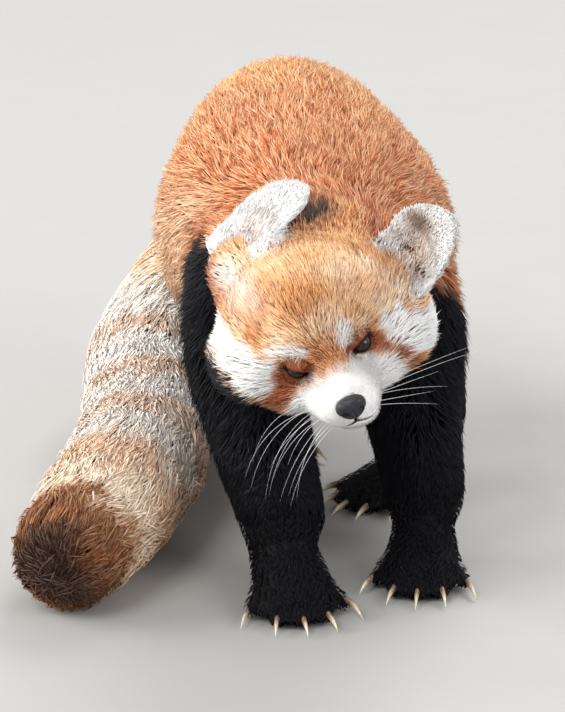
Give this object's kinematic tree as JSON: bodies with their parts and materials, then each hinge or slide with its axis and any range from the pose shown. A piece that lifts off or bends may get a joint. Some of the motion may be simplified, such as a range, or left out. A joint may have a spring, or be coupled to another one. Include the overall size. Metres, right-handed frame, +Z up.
{
  "type": "red panda",
  "caption": "Life-size red panda model, walking with its head low and tilted, its bushy tail laid along its right side.",
  "frame": {"origin": "middle of the animal's bounding box, at floor level under the soles", "axes": "+Z up, -Y the way the animal faces and walks, +X its left side"},
  "size_m": [0.3022, 0.4814, 0.2866],
  "materials": {
    "rust_coat": "long soft fur, rust red with lighter tips",
    "black_coat": "dense black fur",
    "ringed_coat": "bushy fur in tan and cream rings, dark at the tip",
    "white_coat": "short white fur",
    "eye": "wet, dark brown",
    "nose_leather": "moist black skin",
    "claw_horn": "ivory horn"
  },
  "bodies": {
    "root": {"ear_left": "white_coat", "ear_right": "white_coat", "eye_left": "eye", "eye_right": "eye", "foreclaw_left_1": "claw_horn", "foreclaw_left_2": "claw_horn", "foreclaw_left_3": "claw_horn", "foreclaw_left_4": "claw_horn", "foreclaw_left_5": "claw_horn", "foreclaw_right_1": "claw_horn", "foreclaw_right_2": "claw_horn", "foreclaw_right_3": "claw_horn", "foreclaw_right_4": "claw_horn", "foreclaw_right_5": "claw_horn", "forefoot_left": "black_coat", "forefoot_right": "black_coat", "foreleg_left": "black_coat", "foreleg_right": "black_coat", "head": "rust_coat", "hindclaw_left_1": "claw_horn", "hindclaw_left_2": "claw_horn", "hindclaw_left_3": "claw_horn", "hindclaw_left_4": "claw_horn", "hindclaw_left_5": "claw_horn", "hindclaw_right_1": "claw_horn", "hindclaw_right_2": "claw_horn", "hindclaw_right_3": "claw_horn", "hindclaw_right_4": "claw_horn", "hindclaw_right_5": "claw_horn", "hindfoot_left": "black_coat", "hindfoot_right": "black_coat", "hindleg_left": "black_coat", "hindleg_right": "black_coat", "neck": "rust_coat", "nose": "nose_leather", "tail_base": "ringed_coat", "tail_middle": "ringed_coat", "tail_tip": "ringed_coat", "trunk": "rust_coat"}
  },
  "joints": []
}
